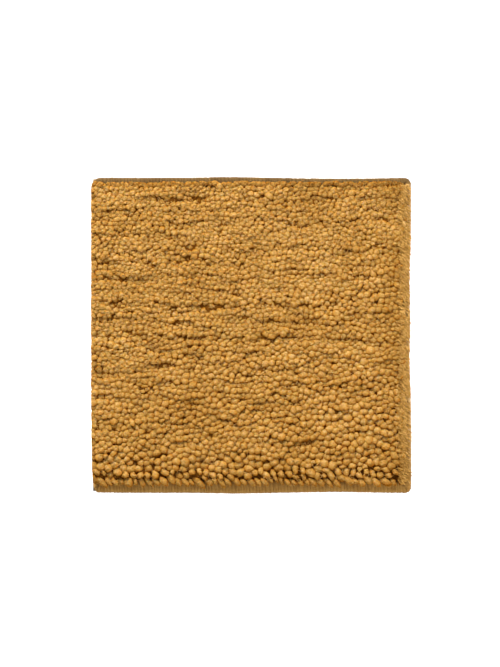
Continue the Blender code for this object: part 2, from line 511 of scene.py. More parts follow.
def ridge_profile(x, y):
    """Ridges between the grooves, like lapped boards: 0 at the proud front edge of each, 1 at its back."""
    level = row_level(x, y)
    places = np.array([from_photo(0, y_px)[1] for y_px, _ in GROOVES])[::-1]
    strengths = np.array([strength for _, strength in GROOVES])[::-1]
    number = np.clip(np.searchsorted(places, level), 1, len(places) - 1)
    share = np.clip((level - places[number - 1]) / (places[number] - places[number - 1]), 0, 1)
    return share * (0.4 + 0.6 * strengths[number])


def row_waves(x, rng, shortest, longest):
    """The sum of four random waves along a row."""
    waves = np.zeros_like(x)
    for _ in range(4):
        length = rng.uniform(shortest, longest)
        waves += np.sin(2 * math.pi * x / length + rng.uniform(0, 2 * math.pi))
    return waves


def row_gaps(x, row):
    """Short stretches where a row draws apart from its neighbours: the push along Y on each end."""
    rng = np.random.default_rng(SEED + 5)
    push = np.zeros_like(x)
    for number in range(int(row.max()) + 1):
        width = 0.00016 if number > 5 else 0.00007
        opening = np.clip(row_waves(x, rng, 0.018, 0.06) - 0.5, 0, 1.6) * width
        push += np.where(row == number, opening, 0) - np.where(row == number - 1, opening, 0)
    return push


def row_noise(x, row):
    """A smooth random number that changes along each row and from row to row."""
    rng = np.random.default_rng(SEED + 6)
    total = np.zeros_like(x)
    for number in range(int(row.max()) + 1):
        total += np.where(row == number, row_waves(x, rng, 0.02, 0.09) / math.sqrt(2), 0)
    return total


# Painted light and shade of the brushed nap, as a change of tone
def brushed_nap_light(x, y):
    tone = np.zeros_like(x)
    for middle, radius_px, change in BRUSHED_NAP_LIGHT:
        mx, my = from_photo(*middle)
        radius = radius_px * METRES_PER_PIXEL
        tone += change * np.exp(-((x - mx) ** 2 + (y - my) ** 2) / radius ** 2)
    return tone


def cell_outlines(x, y, spacing, cap_long, cap_short, cap_turn):
    """How far each end reaches in each direction before it meets its neighbours, as rounded cells."""
    count = len(x)
    tree = search_tree(x, y)
    found = [tree.find_n((x[number], y[number], 0), CELL_NEIGHBOURS + 1) for number in range(count)]
    near = np.array([[other for _, other, _ in neighbours[1:]] for neighbours in found])
    turn, oval = row_turn(x, y)[:, None], oval_share(x, y)[:, None]
    dx, dy = x[near] - x[:, None], y[near] - y[:, None]
    along = (dx * np.cos(turn) + dy * np.sin(turn)) / oval
    over = (dy * np.cos(turn) - dx * np.sin(turn)) * oval
    apart = np.hypot(along, over) + 1e-6
    reach = 0.5 * apart + 0.25 * (spacing[:, None] ** 2 - spacing[near] ** 2) / apart
    reach = np.maximum(reach, 0.25 * apart)
    angle = np.arange(CELL_DIRECTIONS) * 2 * math.pi / CELL_DIRECTIONS
    ray_along, ray_over = np.cos(angle - turn) / oval, np.sin(angle - turn) * oval
    facing = along[..., None] * ray_along[:, None] + over[..., None] * ray_over[:, None]
    facing = facing / apart[..., None]
    limits = (np.maximum(facing, 0) / (CELL_REACH * reach[..., None])) ** CELL_SHARPNESS
    off = angle[None] - cap_turn[:, None]
    cap = 1 / np.hypot(np.cos(off) / cap_long[:, None], np.sin(off) / cap_short[:, None])
    return (limits.sum(axis=1) + cap ** -CELL_SHARPNESS) ** (-1 / CELL_SHARPNESS)


def place_ends(rng):
    """Every yarn end of the pile: x, y, spacing and row number."""
    x, y, spacing, row = lay_out_tufts().T
    count = len(x)
    x = x + 0.0005 * rng.standard_normal(count)
    y = y + (0.0005 + 0.0005 * coarseness(x, y)) * rng.standard_normal(count) * (row > 1)
    spacing = spacing * np.clip(1 + 0.12 * rng.standard_normal(count), 0.75, 1.3)
    x, y = spread_out(x, y, spacing, SPREAD_ROUNDS)
    x, y, spacing, row = fill_bare_places(x, y, spacing, row)
    x, y = spread_out(x, y, spacing, SETTLING_ROUNDS)
    return x, y, spacing, row


def find_zones(x, y, row):
    """How far each end belongs to the parts of the pile that look different."""
    above, below = partings(x, y)
    groove, groove_way = grooves(x, y)
    return SimpleNamespace(fine=fineness(x, y), coarse=coarseness(x, y), strands=strands_share(x),
                           front=(row == 0).astype(float), second=(row == 1).astype(float),
                           above=above, below=below, groove=groove, groove_way=groove_way)


def end_feet(x, y, zone):
    """Where each end stands: on the backing, or on the binding near the rim."""
    on_binding = from_rim(x, y, OUTLINE_LOW, OUTLINE_HIGH) < BINDING_FOLD + 0.0015
    level = np.where(on_binding, BINDING_TOP + CLEARANCE, BACKING_TOP + CLEARANCE)
    return np.stack([x - 0.0016 * zone.strands, y + 0.0010 * zone.front, level], axis=1)


def part_rows(x, y, row, zone):
    """Draws the ends apart at the partings and between rows, and lets the last row waver.

    The zones gain two shares: the back row, and the loose rows at the front.
    """
    y = y - (0.0011 - 0.0004 * zone.coarse) * zone.below + 0.0002 * zone.above
    y = y + row_gaps(x, row) + 0.0003 * zone.groove_way
    y = np.maximum(y, ENDS_Y[0] - 0.0002)
    zone.back_row = smooth_step(y, TUFTS_BACK - 0.0032, TUFTS_BACK - 0.0014)
    y = y - 0.0005 * zone.back_row * smooth_noise(x, 0 * y, 0.010, 16, 5)
    zone.loose = 1 - smooth_step(y - PILE_LOW.y, 0.010, 0.035)
    return y


def shape_heads(rng, x, y, spacing, row, zone):
    """The outline of the head of each end, seen from above, and how far it domes up."""
    count = len(x)
    wide = spacing * (1 + 0.08 * rng.standard_normal(count)) * (1 - 0.08 * zone.loose)
    turn = np.where(row < 2, EDGE_ROWS_TURN, row_turn(x, y))
    turn = turn + (0.35 - 0.13 * zone.fine) * rng.standard_normal(count)
    longer = 1 + 0.10 * rng.standard_normal(count)
    cap_long = (0.77 + 0.18 * zone.strands - 0.06 * zone.second) * wide * longer
    edge_rows = zone.front + zone.second
    cap_short = (0.72 - 0.32 * zone.strands - 0.26 * edge_rows - 0.04 * zone.fine) * wide / longer
    outline = cell_outlines(x, y, wide, cap_long, cap_short, turn)
    dome = outline.mean(axis=1) * (DOME_SHARE + (DOME_SHARE_LOOSE - DOME_SHARE) * zone.loose)
    dome *= 1 + 0.10 * rng.standard_normal(count)
    return outline, dome


def end_tops(rng, x, y, row, zone):
    """Height of the top of each end, lower at the partings, the grooves and the rim."""
    rise = 0.00020 * smooth_noise(x, y, 0.02, 22) + 0.00026 * rng.standard_normal(len(x))
    rise += 0.00020 * row_noise(x, row)
    top = edge_height(x) - 0.0004 + rise - 0.0015 * zone.below + 0.0002 * zone.above
    top -= (GROOVE_DEPTH * zone.groove + RIDGE_DEPTH * ridge_profile(x, y)) * (1 - 0.5 * zone.coarse)
    return top - 0.0012 * (1 - smooth_step(from_rim(x, y, PILE_LOW, PILE_HIGH), 0.0, 0.005))


def end_facing(rng, zone):
    """Which way each head looks: up, and more or less to the back left."""
    count = len(zone.fine)
    tilt = np.stack([-0.12 + 0.16 * rng.standard_normal(count), 0.46 + 0.16 * rng.standard_normal(count),
                     np.ones(count)], axis=1)
    tilt[:, 0] += 0.35 * zone.strands
    tilt[:, 1] -= 0.38 * zone.fine
    tilt[:, 1] -= (0.45 * zone.strands + 0.25 * zone.front + 0.05 * zone.second + 0.45 * zone.above
                   - 0.25 * zone.groove_way)
    return unit(tilt)


def end_tones_and_shade(rng, x, y, zone):
    """How pale each end is: 0 is the mean of the pile, and less is darker. Besides random tone it holds
    painted shade below the partings, in the grooves, on the front row, along the back of the pile and on the
    shaded sides.
    """
    tone = 0.36 * brushed_nap_light(x, y) + 0.05 * smooth_noise(x, y, 0.035, 21)
    # Painted shade below the partings and in the grooves
    tone += 0.07 * rng.standard_normal(len(x)) - 0.20 * zone.below
    tone -= 0.10 * zone.groove * (1 - 0.5 * zone.coarse)
    # Paler towards the right edge; painted shade on the front row and on the back row
    tone += 0.4 * smooth_step(x, STRANDS_FULL, PILE_HIGH.x) - 0.25 * zone.front - 0.55 * zone.back_row
    # Painted shade along the back of the pile
    tone -= 0.15 * smooth_step(y, TUFTS_BACK - 0.0070, TUFTS_BACK - 0.0035)
    shade = np.exp(-((x - SHADED_SIDE) / SHADED_REACH) ** 2)
    shade += smooth_step(PILE_LOW.x + 0.0025 - x, 0, 0.0015)
    return tone - 0.14 * shade * (1 + 0.4 * smooth_noise(0 * x, y, 0.02, 18, 5))


def describe_yarn_ends():
    """Every yarn end in the pile, as a dict of arrays."""
    rng = np.random.default_rng(SEED + 1)
    x, y, spacing, row = place_ends(rng)
    zone = find_zones(x, y, row)
    base = end_feet(x, y, zone)
    y = part_rows(x, y, row, zone)
    outline, dome = shape_heads(rng, x, y, spacing, row, zone)
    tip = np.stack([x, y, end_tops(rng, x, y, row, zone) - dome], axis=1)
    facing = end_facing(rng, zone)
    return {"base": base, "tip": tip, "facing": facing, "outline": outline, "dome": dome,
            "slant": -0.30 * zone.front, "fine": zone.fine, "tone": end_tones_and_shade(rng, x, y, zone),
            "row": row, "spacing": spacing}


# Rings of one yarn end, from the foot to the crown of its head
STEM_PLACE = np.array([0.0, 0.55])
STEM_RADIUS = np.array([0.60, 0.72])
STEM_BEND = np.array([0.15, 0.15, 0.6])
HEAD_RADIUS = np.array([0.84, 1.0, 0.96, 0.85, 0.66, 0.37])
HEAD_BULGE = 1.85
HEAD_RISE = (1 - HEAD_RADIUS ** HEAD_BULGE) ** (1 / HEAD_BULGE) * np.array([-1, 1, 1, 1, 1, 1])
RING_PLACE = np.concatenate([STEM_PLACE, np.ones(len(HEAD_RADIUS))])
RING_RADIUS = np.concatenate([STEM_RADIUS, HEAD_RADIUS])
RING_RISE = np.concatenate([np.zeros(len(STEM_PLACE)), HEAD_RISE])
RING_TWIST = 1.1

# Lumps round an end: how many there are on the way round, and how large
LUMPS = ((1, 0.05), (2, 0.07), (3, 0.06), (4, 0.04))

# Roughness of the heads
ROUGH_SIZE = 0.00017
ROUGH_LENGTH = 0.0020


def end_points(ends, around, rng):
    """Points of all the yarn ends: bent stems with lumpy heads, ring by ring, then the crown."""
    base, tip = ends["base"], ends["tip"]
    count, rings = len(base), len(RING_PLACE)
    bend = base + (tip - base) * STEM_BEND
    place = RING_PLACE[None, :, None]
    axis = ((1 - place) ** 2 * base[:, None] + 2 * place * (1 - place) * bend[:, None]
            + place ** 2 * tip[:, None])
    up = np.array([0.0, 0.0, 1.0])
    right = np.array([1.0, 0.0, 0.0])
    heading = unit(up + (ends["facing"][:, None] - up) * (place == 1))
    side = unit(right - heading * (heading * right).sum(axis=2, keepdims=True))
    across = np.cross(heading, side)
    angle = np.arange(around) * 2 * math.pi / around
    wrapped = np.concatenate([ends["outline"], ends["outline"][:, :1]], axis=1)
    spot = angle / (2 * math.pi / CELL_DIRECTIONS)
    first = np.floor(spot).astype(int)
    share = spot - first
    radius = wrapped[:, first] * (1 - share) + wrapped[:, first + 1] * share
    twist = RING_TWIST * np.arange(rings) / rings
    lump = np.ones((count, rings, around))
    for lobes, size in LUMPS:
        phase = rng.uniform(0, 2 * math.pi, count)[:, None, None]
        strength = size * rng.standard_normal(count)[:, None, None]
        lump += strength * np.cos(lobes * (angle[None, None] + twist[None, :, None]) + phase)
    reach = radius[:, None] * lump * RING_RADIUS[None, :, None]
    points = axis[:, :, None] + heading[:, :, None] * (ends["dome"][:, None] * RING_RISE)[:, :, None, None]
    points = points + side[:, :, None] * (reach * np.cos(angle))[..., None]
    points = points + across[:, :, None] * (reach * np.sin(angle))[..., None]
    crown = tip + heading[:, -1] * (ends["dome"] * rng.uniform(0.90, 1.02, count))[:, None]
    points = np.concatenate([points.reshape(count, rings * around, 3), crown[:, None]], axis=1)
    head = len(STEM_PLACE) * around
    flat = points[:, head:].reshape(-1, 3)
    for number in range(3):
        rough = smooth_noise(flat[:, 0] + 0.3 * flat[:, 2], flat[:, 1] - 0.4 * flat[:, 2], ROUGH_LENGTH,
                             41 + number, 14)
        points[:, head:, number] += ROUGH_SIZE * rough.reshape(count, -1)
    points[:, head:, 0] += ends["slant"][:, None] * (points[:, head:, 1] - tip[:, 1:2])
    return points


def end_faces(count, around):
    """Faces of all the yarn ends, and the place of each face corner on the yarn: round it, and along it."""
    rings = len(RING_PLACE)
    ring, step = np.meshgrid(np.arange(rings - 1), np.arange(around), indexing="ij")
    ring, step = ring.ravel(), step.ravel()
    after = (step + 1) % around
    quads = np.stack([ring * around + step, ring * around + after,
                      (ring + 1) * around + after, (ring + 1) * around + step], axis=1)
    quad_uv = np.stack([step, ring, step + 1, ring, step + 1, ring + 1, step, ring + 1], axis=1)
    step = np.arange(around)
    last = (rings - 1) * around
    caps = np.stack([last + step, last + (step + 1) % around, np.full(around, rings * around)], axis=1)
    top = np.full(around, rings)
    cap_uv = np.stack([step, top - 1, step + 1, top - 1, step + 0.5, top], axis=1)
    start = np.arange(count)[:, None, None] * (rings * around + 1)
    feet = np.arange(around)[::-1][None] + start[:, 0]
    faces = (quads[None] + start).reshape(-1, 4).tolist() + (caps[None] + start).reshape(-1, 3).tolist()
    faces += feet.tolist()
    size = np.array([around, rings])
    feet_uv = np.zeros((around, 2))
    return faces, quad_uv.reshape(-1, 4, 2) / size, cap_uv.reshape(-1, 3, 2) / size, feet_uv


def grow_ends(name, ends, around, material, seed):
    """One mesh of many closed yarn ends."""
    rng = np.random.default_rng(seed)
    count = len(ends["base"])
    points = end_points(ends, around, rng)
    ragged = 0.00012 * rng.standard_normal((count, 1))
    left_limit = PILE_LOW.x - outline_wave("left", photo_row(points[..., 1])) - 0.00012
    points[..., 0] = np.maximum(points[..., 0], left_limit + ragged)
    points[..., 0] = np.minimum(points[..., 0], PILE_HIGH.x + 0.0006 + 3 * ragged)
    points[..., 1] = np.minimum(points[..., 1], TUFTS_BACK + 0.0005 + 3 * ragged)
    points[..., 0], points[..., 1] = inside_crown(points[..., 0], points[..., 1], -0.0003)
    faces, quad_uv, cap_uv, feet_uv = end_faces(count, around)
    own = rng.integers(0, 50, (count, 1, 1, 2))
    uv = np.concatenate([(part[None] + own).reshape(-1, 2) for part in (quad_uv, cap_uv, feet_uv[None])])
    # Painted light and shade along each end, by its height on the head: dark down the sides, pale on the
    # crown
    share = np.append(np.repeat(np.clip(0.5 + 0.5 * RING_RISE, 0, 1) * (RING_PLACE == 1), around), 1.0)
    soft = 1 - 0.12 * ends["fine"][:, None]
    painted_tip_light = 1 - (1 - share[None]) * np.where(share[None] > 0, soft, 1.0)
    return new_piece(name, points.reshape(-1, 3), faces, material, uv, {
        "tone": np.repeat(ends["tone"], points.shape[1]),
        "painted_tip_light": painted_tip_light,
    })


def make_roots(material):
    """The matted lower part of the pile, which closes the gaps between the tufts."""
    x = np.arange(PILE_LOW.x + 0.002, STRANDS_FULL + 0.0005, ROOTS_STEP)
    y = np.arange(PILE_LOW.y + 0.0035, TUFTS_BACK - 0.0025, ROOTS_STEP)
    grid_x, grid_y = np.meshgrid(x, y)
    rng = np.random.default_rng(SEED + 60)
    deep = 1 - smooth_step(grid_y - PILE_LOW.y, 0.010, 0.030)
    z = edge_height(grid_x) - ROOTS_DEPTH - 0.0008 * deep + 0.0003 * rng.standard_normal(grid_x.shape)
    z[[0, -1], :] -= 0.0015
    z[:, [0, -1]] -= 0.0015
    points, faces = closed_grid(grid_x, grid_y, z, BINDING_TOP + 0.0002, looks_up=True)
    return new_piece("wool_roots", points, faces, material)


# One fibre: two rings of three points and a tip
FIBRE_SIDES = 3
FIBRE_POINTS = 7
FIBRE_FACES = ((0, 1, 4, 3), (1, 2, 5, 4), (2, 0, 3, 5), (3, 4, 6), (4, 5, 6), (5, 3, 6), (2, 1, 0))


def make_fibres(ends, material):
    """Loose fibres on the tufts: thin tapered wisps that start inside a head and end just above it."""
    rng = np.random.default_rng(SEED + 70)
    pick = rng.integers(0, len(ends["tip"]), FIBRE_COUNT)
    turn = rng.uniform(0, 2 * math.pi, FIBRE_COUNT)
    rise = rng.uniform(0.25, 0.95, FIBRE_COUNT)
    flat = np.sqrt(1 - rise ** 2)
    out = np.stack([flat * np.cos(turn), flat * np.sin(turn), rise], axis=1)
    wide = ends["outline"].mean(axis=1)[pick]
    start = ends["tip"][pick] + out * np.stack([wide, wide, ends["dome"][pick]], axis=1) * 0.82
    drift = rng.uniform(0, 2 * math.pi, FIBRE_COUNT)
    along = np.stack([np.cos(drift), np.sin(drift), np.full(FIBRE_COUNT, 0.25)], axis=1)
    length = rng.uniform(0.0014, 0.0032, FIBRE_COUNT)[:, None]
    middle = start + (0.30 * out + 0.45 * along) * length
    end = start + (0.30 * out + 1.0 * along) * length
    width = rng.uniform(0.00010, 0.00018, FIBRE_COUNT)[:, None]
    way = unit(end - start)
    side = unit(np.cross(way, np.array([0.3, 0.2, 1.0])))
    over = np.cross(way, side)
    rings = []
    for centre, size in ((start, 1.0), (middle, 0.8)):
        for angle in np.arange(FIBRE_SIDES) * 2 * math.pi / FIBRE_SIDES:
            rings.append(centre + width * size * (side * math.cos(angle) + over * math.sin(angle)))
    points = np.stack(rings + [end], axis=1)
    points[..., 0] = np.maximum(points[..., 0], PILE_LOW.x - 0.0004)
    tone = ends["tone"][pick] + 0.10 + 0.25 * rng.standard_normal(FIBRE_COUNT)
    return new_piece("wool_fibres", points.reshape(-1, 3), repeated(FIBRE_FACES, FIBRE_POINTS, FIBRE_COUNT),
                     material, attributes={"tone": np.repeat(tone, FIBRE_POINTS),
                                           "painted_tip_light": np.ones(FIBRE_POINTS * FIBRE_COUNT)})


# One brushed strand: sides, and its rings as places along it and shares of its radius
STRAND_SIDES = 5
STRAND_RINGS = ((0.0, 0.7), (0.25, 1.0), (0.5, 0.95), (0.75, 0.7), (1.0, 0.2))


def strand_faces():
    """The faces of one strand: its two ends, and the sides between its rings."""
    total = len(STRAND_RINGS) * STRAND_SIDES
    faces = [tuple(range(STRAND_SIDES - 1, -1, -1)), tuple(range(total - STRAND_SIDES, total))]
    for ring in range(0, total - STRAND_SIDES, STRAND_SIDES):
        for step in range(STRAND_SIDES):
            after = (step + 1) % STRAND_SIDES
            faces.append((ring + step, ring + after, ring + STRAND_SIDES + after, ring + STRAND_SIDES + step))
    return faces


def make_edge_strands(material):
    """Fine strands brushed down over the binding along the right edge: bent, tapered and closed."""
    rng = np.random.default_rng(SEED + 90)
    count = EDGE_STRAND_COUNT
    x = rng.uniform(STRANDS_START + 0.001, PILE_HIGH.x + 0.0010, count)
    y = rng.uniform(PILE_LOW.y + 0.003, TUFTS_BACK - 0.0005, count)
    length = rng.uniform(0.0026, 0.0048, count)[:, None]
    turn = STRANDS_TURN + math.radians(13) * rng.standard_normal(count)
    radius = rng.uniform(0.00024, 0.00046, count)
    lift = rng.uniform(-0.0003, 0.0006, count)
    ragged = rng.uniform(-0.0004, 0.0003, count)
    start = np.stack([x, y, np.zeros(count)], axis=1)
    way = np.stack([np.cos(turn), np.sin(turn), np.zeros(count)], axis=1)
    side = np.stack([-np.sin(turn), np.cos(turn), np.zeros(count)], axis=1)
    up = np.array([0.0, 0.0, 1.0])
    rings = []
    for place, share in STRAND_RINGS:
        centre = start + place * length * way
        limit = OUTLINE_HIGH.x + outline_wave("right", photo_row(centre[:, 1]))
        centre[:, 0] = np.minimum(centre[:, 0], limit + ragged)
        bow = lift * math.sin(math.pi * place) - 0.0005 * place
        centre[:, 2] = np.maximum(edge_height(centre[:, 0]) - 0.0007 + bow, BINDING_TOP + 0.0002)
        thick = (radius * share)[:, None]
        for angle in np.arange(STRAND_SIDES) * 2 * math.pi / STRAND_SIDES:
            rings.append(centre + thick * (side * math.cos(angle) + up * math.sin(angle)))
    points = np.stack(rings, axis=1)
    pale = smooth_step(points[..., 0], STRANDS_START, PILE_HIGH.x)
    # Paler towards the outer edge, and darker towards the front
    tone = 0.36 * rng.standard_normal(count)[:, None] + 0.72 * pale - 0.12
    tone -= 0.40 * (1 - smooth_step(points[..., 1] - PILE_LOW.y, 0.012, 0.045))
    return new_piece("wool_edge_strands", points.reshape(-1, 3),
                     repeated(strand_faces(), points.shape[1], count), material,
                     attributes={"tone": tone, "painted_tip_light": np.full(points.shape[:2], 0.75)})


def make_pile():
    ends = describe_yarn_ends()
    wool = wool_material("mustard_wool", 0.65, WOOL_COLOURS)
    wisps = wool_material("mustard_wisps", 0.0, WISP_COLOURS)
    edge_wool = wool_material("edge_strand_wool", 0.0, EDGE_STRAND_COLOURS)
    edges = np.quantile(ends["row"], np.linspace(0, 1, BAND_COUNT + 1))
    edges[-1] += 1
    pieces = [make_roots(roots_material()), make_fibres(ends, wisps), make_edge_strands(edge_wool)]
    thick = ends["spacing"] > THICK_SPACING
    for kind, chosen, around in (("thick", thick, SIDES_THICK), ("fine", ~thick, SIDES_FINE)):
        for band in range(BAND_COUNT):
            keep = chosen & (ends["row"] >= edges[band]) & (ends["row"] < edges[band + 1])
            if keep.any():
                found = {key: values[keep] for key, values in ends.items()}
                pieces.append(grow_ends(f"wool_{kind}_{band + 1}", found, around, wool, SEED + 30 + band))
    for piece in pieces:
        dress(piece, "wool_pile")
    return pieces


# Section of the binding: distance in from the outer edge, height, and share of the ribs' relief
BINDING_SECTION = (
    (0.0076, 0.0034, 0.0), (0.0070, 0.0037, 0.4), (0.0052, 0.0037, 1.0), (0.0036, 0.0037, 1.0),
    (0.0022, 0.0036, 1.0), (0.0012, 0.0033, 1.0), (0.0005, 0.0028, 1.0), (0.0001, 0.0021, 1.0),
    (0.0001, 0.0013, 1.0), (0.0005, 0.0006, 1.0), (0.0012, 0.0001, 0.3), (0.0030, 0.0, 0.0),
    (0.0076, 0.0, 0.0), (0.0076, 0.0010, 0.0), (0.0010, 0.0010, 0.0), (0.0010, 0.0027, 0.0),
    (0.0076, 0.0027, 0.0),
)

# Points of the section further in than this keep clear of the inner corners
STRAIGHT_INSET = 0.003


def outline_stations():
    """Points round the outer edge, anticlockwise from the front left, with outward normals and lengths."""
    low, high = OUTLINE_LOW, OUTLINE_HIGH
    corners = ((low.x, low.y, "front_left"), (high.x, low.y, "front_right"),
               (high.x, high.y, "back_right"), (low.x, high.y, "back_left"))
    places, normals = [], []
    fine = RIB_PITCH / SAMPLES_PER_RIB
    for number, (cx, cy, name) in enumerate(corners):
        radius = CORNER_RADII[name]
        way = math.pi + number * math.pi / 2
        centre = np.array([cx - math.copysign(radius, cx), cy - math.copysign(radius, cy)])
        steps = max(4, round(radius * math.pi / 2 / fine))
        turn = way + np.arange(steps) / steps * math.pi / 2
        normal = np.stack([np.cos(turn), np.sin(turn)], axis=1)
        places.append(centre + radius * normal)
        normals.append(normal)
        next_x, next_y, next_name = corners[(number + 1) % 4]
        outward = np.array([math.cos(way + math.pi / 2), math.sin(way + math.pi / 2)])
        start = centre + radius * outward
        forward = np.array([-outward[1], outward[0]])
        length = abs(next_x - cx) + abs(next_y - cy) - radius - CORNER_RADII[next_name]
        steps = round(length / fine)
        along = np.arange(steps)[:, None] / steps * length
        places.append(start + along * forward)
        normals.append(np.repeat(outward[None], steps, axis=0))
    places, normals = np.concatenate(places), np.concatenate(normals)
    gaps = np.linalg.norm(np.roll(places, -1, axis=0) - places, axis=1)
    return places, normals, np.concatenate([[0.0], np.cumsum(gaps)[:-1]]), gaps.sum()


def outline_shift(places, normals):
    """How far the real edge strays from the straight outline, in metres outwards."""
    x_px = SAMPLE_MIDDLE_PX[0] + places[:, 0] / METRES_PER_PIXEL
    y_px = photo_row(places[:, 1])
    front = outline_wave("front", x_px) * np.clip(-normals[:, 1], 0, 1)
    back = outline_wave("back", x_px) * np.clip(normals[:, 1], 0, 1)
    right = outline_wave("right", y_px) * np.clip(normals[:, 0], 0, 1)
    left = outline_wave("left", y_px) * np.clip(-normals[:, 0], 0, 1)
    return front + back + right + left


def binding_shades(places, right, heights):
    """Shares of the pale right side and of the painted shade on the back, per station, and of the painted
    shade at the foot, per point.
    """
    from_front, from_back = places[:, 1] - OUTLINE_LOW.y, OUTLINE_HIGH.y - places[:, 1]
    right_side = smooth_step(right, 0.3, 0.9) * smooth_step(from_front, 0.008, 0.040)
    right_side *= smooth_step(from_back, 0.002, 0.010)
    back_shade = smooth_step(from_back, 0.008, 0.001)
    bare = smooth_step(from_front, 0.042, 0.032) * right
    # Painted shade towards the floor, weaker on the right side except near the front
    low = smooth_step(0.0036 - heights, 0.0, 0.0018)[None] * (1 - 0.5 * right_side * (1 - bare))[:, None]
    return right_side, back_shade, low


def make_binding():
    """The strip round the edge: a C section swept along the outline, with ribs of yarn across it."""
    rng = np.random.default_rng(SEED + 80)
    places, normals, run, total = outline_stations()
    right = np.clip(normals[:, 0], 0, 1)
    section = np.array(BINDING_SECTION)
    inset, height, relief = section[:, 0][None], section[:, 1][None], section[:, 2][None]
    tangent = unit(np.roll(section[:, :2], -1, axis=0) - np.roll(section[:, :2], 1, axis=0))
    face_out, face_up = tangent[:, 1][None], -tangent[:, 0][None]

    rib_count = round(total / RIB_PITCH)
    lap = 2 * math.pi * run / total
    waver = 0.22 * np.sin(lap * 31 + 1.0) + 0.2 * np.sin(lap * 73)
    phase = run / total * rib_count + waver
    phase = phase[:, None] + (0.10 + 0.25 * right[:, None]) * inset / RIB_PITCH
    rib = np.abs(np.cos(math.pi * phase)) ** 0.8
    loud = 0.75 + 0.25 * rng.uniform(-1, 1, rib_count + 8)[np.floor(phase + 2.5).astype(int)]
    proud = RIB_HEIGHT * relief * (rib * loud - 0.35)
    proud += 0.00016 * relief * rng.standard_normal(proud.shape)

    depth = inset - face_out * proud
    depth = depth - outline_shift(places, normals)[:, None] * np.clip(1 - inset / 0.0060, 0, 1)
    level = np.clip(height + face_up * proud, 0.0, None)
    x = places[:, 0][:, None] - depth * normals[:, 0][:, None]
    y = places[:, 1][:, None] - depth * normals[:, 1][:, None]
    deep = np.maximum(depth, 0)
    x = np.where(inset > STRAIGHT_INSET, press(x, OUTLINE_LOW.x + deep, OUTLINE_HIGH.x - deep), x)
    y = np.where(inset > STRAIGHT_INSET, press(y, OUTLINE_LOW.y + deep, OUTLINE_HIGH.y - deep), y)
    points = np.stack([x, y, level], axis=2).reshape(-1, 3)

    stations, around = len(places), len(section)
    station, spot = np.meshgrid(np.arange(stations), np.arange(around), indexing="ij")
    station, spot = station.ravel(), spot.ravel()
    ahead, after = (station + 1) % stations, (spot + 1) % around
    faces = np.stack([station * around + spot, station * around + after,
                      ahead * around + after, ahead * around + spot], axis=1)
    rib_place = phase[:, 0][station] - waver[station]
    next_place = rib_place + 1 / SAMPLES_PER_RIB
    uv = np.stack([rib_place, spot / 4, rib_place, (spot + 1) / 4,
                   next_place, (spot + 1) / 4, next_place, spot / 4], axis=1)
    right_side, back_shade, low = binding_shades(places, right, section[:, 1])
    piece = new_piece("ribbed_binding", points, faces.tolist(), binding_material(), uv, {
        "rib_light": (rib * relief).ravel(),
        "right_side": np.repeat(right_side, around),
        "back_shade": np.repeat(back_shade, around),
        "low": low.ravel(),
    })
    dress(piece, "edge_binding")
    return piece


def thread_lines(low, high):
    """Where the threads of the weave lie from one side to the other, with two lines at each rim."""
    first, last = low + BINDING_FOLD, high - BINDING_FOLD
    steps = 2 * round((last - first) / THREAD_PITCH)
    return np.concatenate([[low, first - 0.0012], np.linspace(first - 0.0006, last + 0.0006, steps + 1),
                           [last + 0.0012, high]])


def make_backing():
    """The backing cloth: a plain weave below, pressed thin where the binding folds over its rim."""
    grid_x, grid_y = np.meshgrid(thread_lines(BACKING_LOW.x, BACKING_HIGH.x),
                                 thread_lines(BACKING_LOW.y, BACKING_HIGH.y))
    rows, columns = grid_x.shape
    row, column = np.meshgrid(np.arange(rows), np.arange(columns), indexing="ij")
    weave = ((row + column) % 2) * THREAD_RELIEF
    inside = (row > 1) & (row < rows - 2) & (column > 1) & (column < columns - 2)
    z = np.where(inside, weave, BINDING_WALL + CLEARANCE)
    points, faces = closed_grid(grid_x, grid_y, z, BACKING_TOP, looks_up=False)
    piece = new_piece("backing_cloth", points, faces, backing_material())
    dress(piece, "backing")
    return piece


# Colours of the wool as 8-bit sRGB, from the painted shade deep down the sides of an end to the painted
# highlight on its tip
WOOL_COLOURS = ((0.36, (130, 66, 4)), (0.56, (172, 107, 24)),
                (0.74, (196, 147, 72)), (0.98, (232, 208, 158)))
WISP_COLOURS = ((0.36, (112, 56, 8)), (0.56, (174, 108, 34)),
                (0.74, (210, 154, 80)), (0.98, (242, 204, 134)))
EDGE_STRAND_COLOURS = ((0.36, (118, 68, 18)), (0.56, (171, 116, 44)),
                 (0.74, (201, 155, 82)), (0.98, (239, 206, 146)))
# Painted shade: the roots are the same wool, painted dark
ROOT_SHADE_COLOURS = ((0.3, (84, 46, 8)), (0.7, (128, 80, 24)))
SHEEN_COLOUR = (236, 172, 64)

# Colours of the binding and of the backing; the back and the foot of the binding are painted shade
FRONT_COLOURS = ((0.25, (162, 112, 44)), (0.95, (204, 156, 82)))
PALE_COLOURS = ((0.25, (200, 152, 92)), (0.95, (232, 198, 144)))
BACK_SHADE_COLOURS = ((0.25, (76, 53, 20)), (0.95, (118, 90, 48)))
FOOT_SHADE_COLOUR = (108, 78, 42)
CLOTH_COLOURS = ((0.3, (112, 90, 62)), (0.7, (160, 134, 98)))

# How strongly the grain of the wool, together with its tone and painted shade, changes its brightness, and
# the mean of that grain
GRAIN_GAIN = 1.5
GRAIN_MEAN = 0.39


def srgb(red, green, blue):
    """8-bit sRGB values as a linear colour."""
    linear = []
    for value in (red, green, blue):
        share = value / 255
        linear.append(share / 12.92 if share <= 0.04045 else ((share + 0.055) / 1.055) ** 2.4)
    return (*linear, 1.0)


